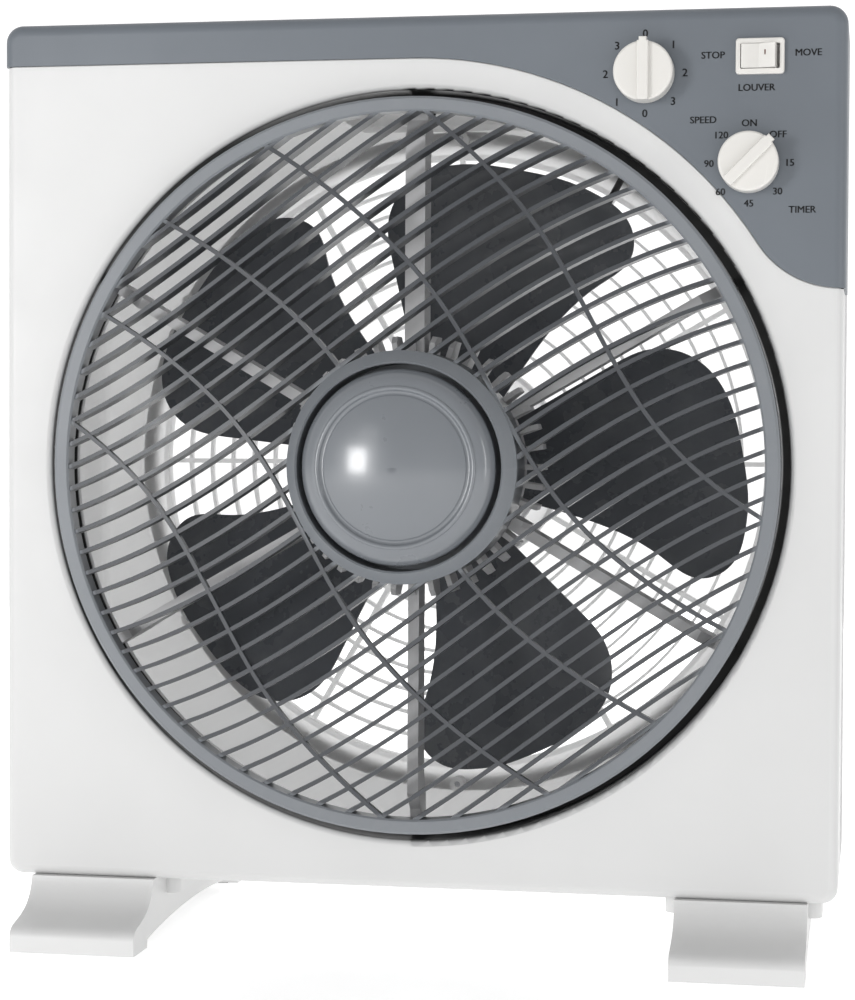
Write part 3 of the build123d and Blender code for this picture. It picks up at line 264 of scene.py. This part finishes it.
def plastic(name, colour, roughness=0.4, grain=1.0, variation=0.04, coat=0.0, coat_roughness=0.1,
            wear=0.0, dust=0.0):
    """Moulded plastic: fine spark-eroded grain, slight cloudiness, rubbed edges, patchy dust."""
    material, tree, shader = principled(name)
    place = object_place(tree)
    cloud = noise(tree, place, CLOUD_SCALE, 4.0)
    tint = mix_colour(tree, remap(tree, cloud, 0.0, 1.0, 0.3, 0.7),
                      [c * (1 - variation) for c in colour],
                      [min(1.0, c * (1 + variation)) for c in colour])
    if wear:
        rubbed = [min(1.0, c * (1 + wear) + 0.02) for c in colour]
        tint = mix_colour(tree, edge_share(tree), tint, rubbed)
    if dust:
        settle = remap(tree, noise(tree, place, DUST_SCALE, 6.0, 0.7), 0.0, dust, 0.5, 0.8)
        tint = mix_colour(tree, settle, tint, DUST_COLOUR)
    tree.links.new(tint, shader.inputs["Base Color"])
    smear = noise(tree, place, SMEAR_SCALE, 5.0, 0.6)
    tree.links.new(remap(tree, smear, roughness * 0.85, roughness * 1.15, 0.3, 0.7),
                   shader.inputs["Roughness"])
    shader.inputs["IOR"].default_value = 1.5
    shader.inputs["Coat Weight"].default_value = coat
    shader.inputs["Coat Roughness"].default_value = coat_roughness
    if grain:
        bump(tree, shader, noise(tree, place, GRAIN_SCALE, 2.0, 0.6), GRAIN_DEPTH * grain, 0.5)
    return material


def see_through(material, share):
    """Let part of the light pass, as thin white plastic does."""
    tree = material.node_tree
    shader = tree.nodes["Principled BSDF"]
    pass_on = tree.nodes.new("ShaderNodeBsdfTranslucent")
    pass_on.inputs["Color"].default_value = (*PASSED_COLOUR, 1.0)
    blend = tree.nodes.new("ShaderNodeMixShader")
    blend.inputs[0].default_value = share
    tree.links.new(shader.outputs[0], blend.inputs[1])
    tree.links.new(pass_on.outputs[0], blend.inputs[2])
    tree.links.new(blend.outputs[0], tree.nodes["Material Output"].inputs["Surface"])
    return material


def axis_distance(tree):
    """How far a point is from the fan's axis, in metres."""
    flatten = tree.nodes.new("ShaderNodeMapping")
    flatten.inputs["Location"].default_value = (0, 0, -FAN_AXIS_Z)
    flatten.inputs["Scale"].default_value = (1, 0, 1)
    tree.links.new(object_place(tree), flatten.inputs["Vector"])
    length = tree.nodes.new("ShaderNodeVectorMath")
    length.operation = "LENGTH"
    tree.links.new(flatten.outputs["Vector"], length.inputs[0])
    return length.outputs["Value"]


def both(tree, first, second):
    node = tree.nodes.new("ShaderNodeMath")
    node.operation = "MULTIPLY"
    tree.links.new(first, node.inputs[0])
    tree.links.new(second, node.inputs[1])
    return node.outputs[0]


def repaint(material, share, colour):
    """Lay another colour over a material's own where a share says so; both uses here paint shade.
    """
    tree = material.node_tree
    shader = tree.nodes["Principled BSDF"]
    tint = shader.inputs["Base Color"].links[0].from_socket
    cloud = remap(tree, noise(tree, object_place(tree), REPAINT_SCALE), 0.2, 0.8)
    cloudy = mix_colour(tree, cloud, colour, [c * 1.15 for c in colour])
    tree.links.new(mix_colour(tree, share, tint, cloudy), shader.inputs["Base Color"])
    return material


def slatted(name, ring, slat_shade):
    """Louvre plastic: grey rings, with the slats between them darkened by painted shade, as the
    slats sit in their own shade.
    """
    material = plastic(name, ring, 0.38, wear=0.08, dust=0.05)
    tree = material.node_tree
    radius = axis_distance(tree)
    past_hub = remap(tree, radius, 0.0, 1.0, *SLAT_SHADE_START)
    before_rim = remap(tree, radius, 1.0, 0.0, *SLAT_SHADE_END)
    return repaint(material, both(tree, past_hub, before_rim), slat_shade)


def paint_gap_shade(material):
    """Painted shade: darken the wall of the deep gap round the louvre, behind the opening's rounded
    lip, as the gap lies in shade.
    """
    tree = material.node_tree
    radius = axis_distance(tree)
    in_shaded_gap = both(tree, remap(tree, radius, 0.0, 1.0, *GAP_INNER),
                  remap(tree, radius, 1.0, 0.0, *GAP_OUTER))
    split = tree.nodes.new("ShaderNodeSeparateXYZ")
    tree.links.new(object_place(tree), split.inputs[0])
    behind_lip = remap(tree, split.outputs["Y"], 0.0, 1.0,
                       *(CASING_FACE_Y + depth for depth in GAP_DEPTH))
    return repaint(material, both(tree, in_shaded_gap, behind_lip), GAP_PAINTED_SHADE)


def metal(name, colour, roughness=0.3, spots=0.0):
    """Bare or plated metal with fine scratches and a little mottling."""
    material, tree, shader = principled(name)
    place = object_place(tree)
    mottle = remap(tree, noise(tree, place, MOTTLE_SCALE, 4.0), 0.0, 1.0, 0.35, 0.65)
    tint = mix_colour(tree, mottle, [c * 0.88 for c in colour], colour)
    if spots:
        stain = remap(tree, noise(tree, place, STAIN_SCALE, 5.0, 0.7), 0.0, spots, 0.55, 0.75)
        tint = mix_colour(tree, stain, tint, [c * 0.5 for c in colour])
    tree.links.new(tint, shader.inputs["Base Color"])
    shader.inputs["Metallic"].default_value = 1.0
    stretch = tree.nodes.new("ShaderNodeMapping")
    stretch.inputs["Scale"].default_value = SCRATCH_STRETCH
    tree.links.new(place, stretch.inputs["Vector"])
    scratch = noise(tree, stretch.outputs["Vector"], SCRATCH_SCALE, 4.0, 0.7)
    tree.links.new(remap(tree, scratch, roughness * 0.75, roughness * 1.3, 0.3, 0.7),
                   shader.inputs["Roughness"])
    bump(tree, shader, scratch, SCRATCH_DEPTH, 0.6)
    return material


def wound(name, colour):
    """Copper wire laid side by side, as a fine ridged bump."""
    material, tree, shader = principled(name)
    place = object_place(tree)
    wave = tree.nodes.new("ShaderNodeTexWave")
    wave.wave_type = "RINGS"
    wave.rings_direction = "Y"
    wave.inputs["Scale"].default_value = 1.0 / WIRE_PITCH / WAVE_TURN
    wave.inputs["Distortion"].default_value = 1.5
    tree.links.new(place, wave.inputs["Vector"])
    shade = mix_colour(tree, wave.outputs["Fac"], [c * 0.45 for c in colour], colour)
    tree.links.new(shade, shader.inputs["Base Color"])
    shader.inputs["Metallic"].default_value = 0.85
    shader.inputs["Roughness"].default_value = 0.35
    shader.inputs["Coat Weight"].default_value = 0.6
    bump(tree, shader, wave.outputs["Fac"], WIRE_DEPTH)
    return material


def laminated(name, colour):
    """A stack of thin varnished steel sheets."""
    material, tree, shader = principled(name)
    place = object_place(tree)
    wave = tree.nodes.new("ShaderNodeTexWave")
    wave.bands_direction = "Y"
    wave.inputs["Scale"].default_value = SHEET_SCALE
    wave.inputs["Distortion"].default_value = 0.4
    tree.links.new(place, wave.inputs["Vector"])
    shade = mix_colour(tree, wave.outputs["Fac"], [c * 0.6 for c in colour], colour)
    tree.links.new(shade, shader.inputs["Base Color"])
    shader.inputs["Metallic"].default_value = 0.8
    shader.inputs["Roughness"].default_value = 0.45
    bump(tree, shader, wave.outputs["Fac"], SHEET_DEPTH)
    return material


def make_materials():
    """One finished material for each material slot of the record."""
    return {
        # The white casing plastic gets painted shade in the gap round the louvre.
        "body_plastic": paint_gap_shade(
            plastic("body_plastic", (0.655, 0.655, 0.652), 0.38, variation=0.02, wear=0.05)),
        "panel_plastic": plastic("panel_plastic", (0.142, 0.159, 0.18), 0.42, variation=0.05),
        "knob_plastic": plastic("knob_plastic", (0.70, 0.685, 0.655), 0.35, wear=0.06),
        # The spider's white plastic gets the same painted shade in the gap round the louvre.
        "inner_plastic": paint_gap_shade(plastic("inner_plastic", (0.66, 0.66, 0.67), 0.45, dust=0.12)),
        # The slats' darker colour is painted shade.
        "louvre_plastic": slatted("louvre_plastic", (0.185, 0.198, 0.215), (0.058, 0.062, 0.069)),
        "cap_plastic": plastic("cap_plastic", (0.165, 0.178, 0.195), 0.3, grain=0.4, coat=1.0,
                               coat_roughness=0.16),
        "blade_plastic": plastic("blade_plastic", (0.088, 0.094, 0.104), 0.28, coat=0.4, dust=0.08),
        "zinc_steel": metal("zinc_steel", (0.62, 0.63, 0.66), 0.32),
        "shaft_steel": metal("shaft_steel", (0.55, 0.56, 0.58), 0.22),
        "motor_shell": metal("motor_shell", (0.55, 0.56, 0.57), 0.4, spots=0.4),
        "laminated_steel": laminated("laminated_steel", (0.32, 0.32, 0.34)),
        "copper_wire": wound("copper_wire", (0.72, 0.33, 0.15)),
        "bronze": metal("bronze", (0.55, 0.38, 0.2), 0.45, spots=0.3),
        "terminal_brass": metal("terminal_brass", (0.78, 0.62, 0.3), 0.3),
        "black_plastic": plastic("black_plastic", (0.025, 0.025, 0.027), 0.45, wear=0.5),
        "lead_sheath": plastic("lead_sheath", (0.03, 0.03, 0.032), 0.5, variation=0.15, dust=0.1),
        "black_rubber": plastic("black_rubber", (0.02, 0.02, 0.021), 0.75, grain=3.0, dust=0.2),
    }


def finish_nodes(materials):
    """Give every CAD node its slot's material, or thin white plastic to the two at the back."""
    thin = {node: see_through(plastic(name, colour, 0.4), share)
            for node, (name, colour, share) in THIN_WHITE.items()}
    for row in frame["record"]["subparts"]:
        node = frame["nodes"][row["node"]]
        finish = thin.get(row["node"], materials[row["material_slot"]])
        if not node.material_slots:
            node.data.materials.append(finish)
        for place in node.material_slots:
            place.material = finish


# ---------------------------------------------------------------- lettering
def letters(text, x, z, height):
    """A flat printed word centred on a place on the panel, set twice to make it bold."""
    data = bpy.data.curves.new("word", "FONT")
    data.body = text
    data.size = height / CAPITAL_SHARE
    data.align_x = "CENTER"
    data.align_y = "CENTER"
    data.extrude = INK_THICKNESS / 2
    data.resolution_u = 3
    source = bpy.data.objects.new("word", data)
    bpy.context.scene.collection.objects.link(source)
    bpy.context.view_layer.update()
    mesh = bpy.data.meshes.new_from_object(source)
    bpy.data.objects.remove(source)
    turn = Matrix.Rotation(math.radians(90), 4, "X")
    prints = []
    for shift in (-BOLDER, BOLDER):
        place = (x + shift, PANEL_FACE_Y - INK_THICKNESS / 2, z)
        print_mesh = mesh.copy()
        print_mesh.transform(Matrix.Translation(place) @ turn)
        prints.append(print_mesh)
    return prints


def join_meshes(name, meshes):
    """One piece from several meshes."""
    verts, faces = [], []
    for mesh in meshes:
        start = len(verts)
        verts += [v.co.copy() for v in mesh.vertices]
        faces += [[start + i for i in p.vertices] for p in mesh.polygons]
    joined = bpy.data.meshes.new(name)
    joined.from_pydata(verts, [], faces)
    piece = bpy.data.objects.new(name, joined)
    bpy.context.scene.collection.objects.link(piece)
    return piece


def dial_marks(axis, marks):
    """The marks of one dial, clockwise from the top."""
    meshes = []
    for step, mark in enumerate(marks):
        angle = math.radians(MARK_STEP * step)
        x = axis[0] + MARK_RADIUS * math.sin(angle)
        z = axis[1] + MARK_RADIUS * math.cos(angle)
        meshes += letters(mark, x, z, DIGIT_HEIGHT if len(mark) < 2 else LETTER_HEIGHT)
    return meshes


def make_lettering():
    ink = plastic("panel_ink", (0.012, 0.012, 0.014), 0.5, variation=0.2)
    groups = {
        "speed_marks": dial_marks(SPEED_AXIS, SPEED_MARKS),
        "timer_marks": dial_marks(TIMER_AXIS, TIMER_MARKS),
        "panel_words": sum((letters(text, x, z, LETTER_HEIGHT) for text, x, z in WORDS), []),
    }
    for name, meshes in groups.items():
        piece = join_meshes(name, meshes)
        piece.data.materials.append(ink)
        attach(piece, "casing")


def make_rocker_mark():
    """The small red-brown bar printed on the rocker's raised half."""
    rocker = frame["nodes"]["rocker"]
    x, z = ROCKER_MARK
    to_local = rocker.matrix_world.inverted()
    start = to_local @ Vector((x, -RAY_REACH, z))
    way = (to_local @ Vector((x, RAY_REACH, z)) - start).normalized()
    hit, place, normal, _ = rocker.ray_cast(start, way)
    if not hit:
        raise RuntimeError("the rocker isn't where its mark should go")
    place = rocker.matrix_world @ place
    normal = (rocker.matrix_world.to_3x3() @ normal).normalized()
    up = Vector((0, 0, 1))
    side = up.cross(normal).normalized() * ROCKER_MARK_SIZE[0] / 2
    rise = normal.cross(side).normalized() * ROCKER_MARK_SIZE[1] / 2
    lift = normal * INK_THICKNESS
    corners = [place + lift * t + side * a + rise * b
               for t in ROCKER_MARK_LIFTS for a, b in ((-1, -1), (1, -1), (1, 1), (-1, 1))]
    faces = [(0, 3, 2, 1), (4, 5, 6, 7), (0, 1, 5, 4), (1, 2, 6, 5), (2, 3, 7, 6), (3, 0, 4, 7)]
    mesh = bpy.data.meshes.new("rocker_mark")
    mesh.from_pydata(corners, [], faces)
    mesh.materials.append(plastic("mark_ink", (0.12, 0.035, 0.02), 0.5, variation=0.2))
    piece = bpy.data.objects.new("rocker_mark", mesh)
    bpy.context.scene.collection.objects.link(piece)
    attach(piece, "rocker_button")


# ---------------------------------------------------------------- the scene
make_camera()
finishes = make_materials()
make_light()
make_floor()
finish_nodes(finishes)
make_lettering()
make_rocker_mark()
bpy.context.scene.view_settings.view_transform = "Standard"
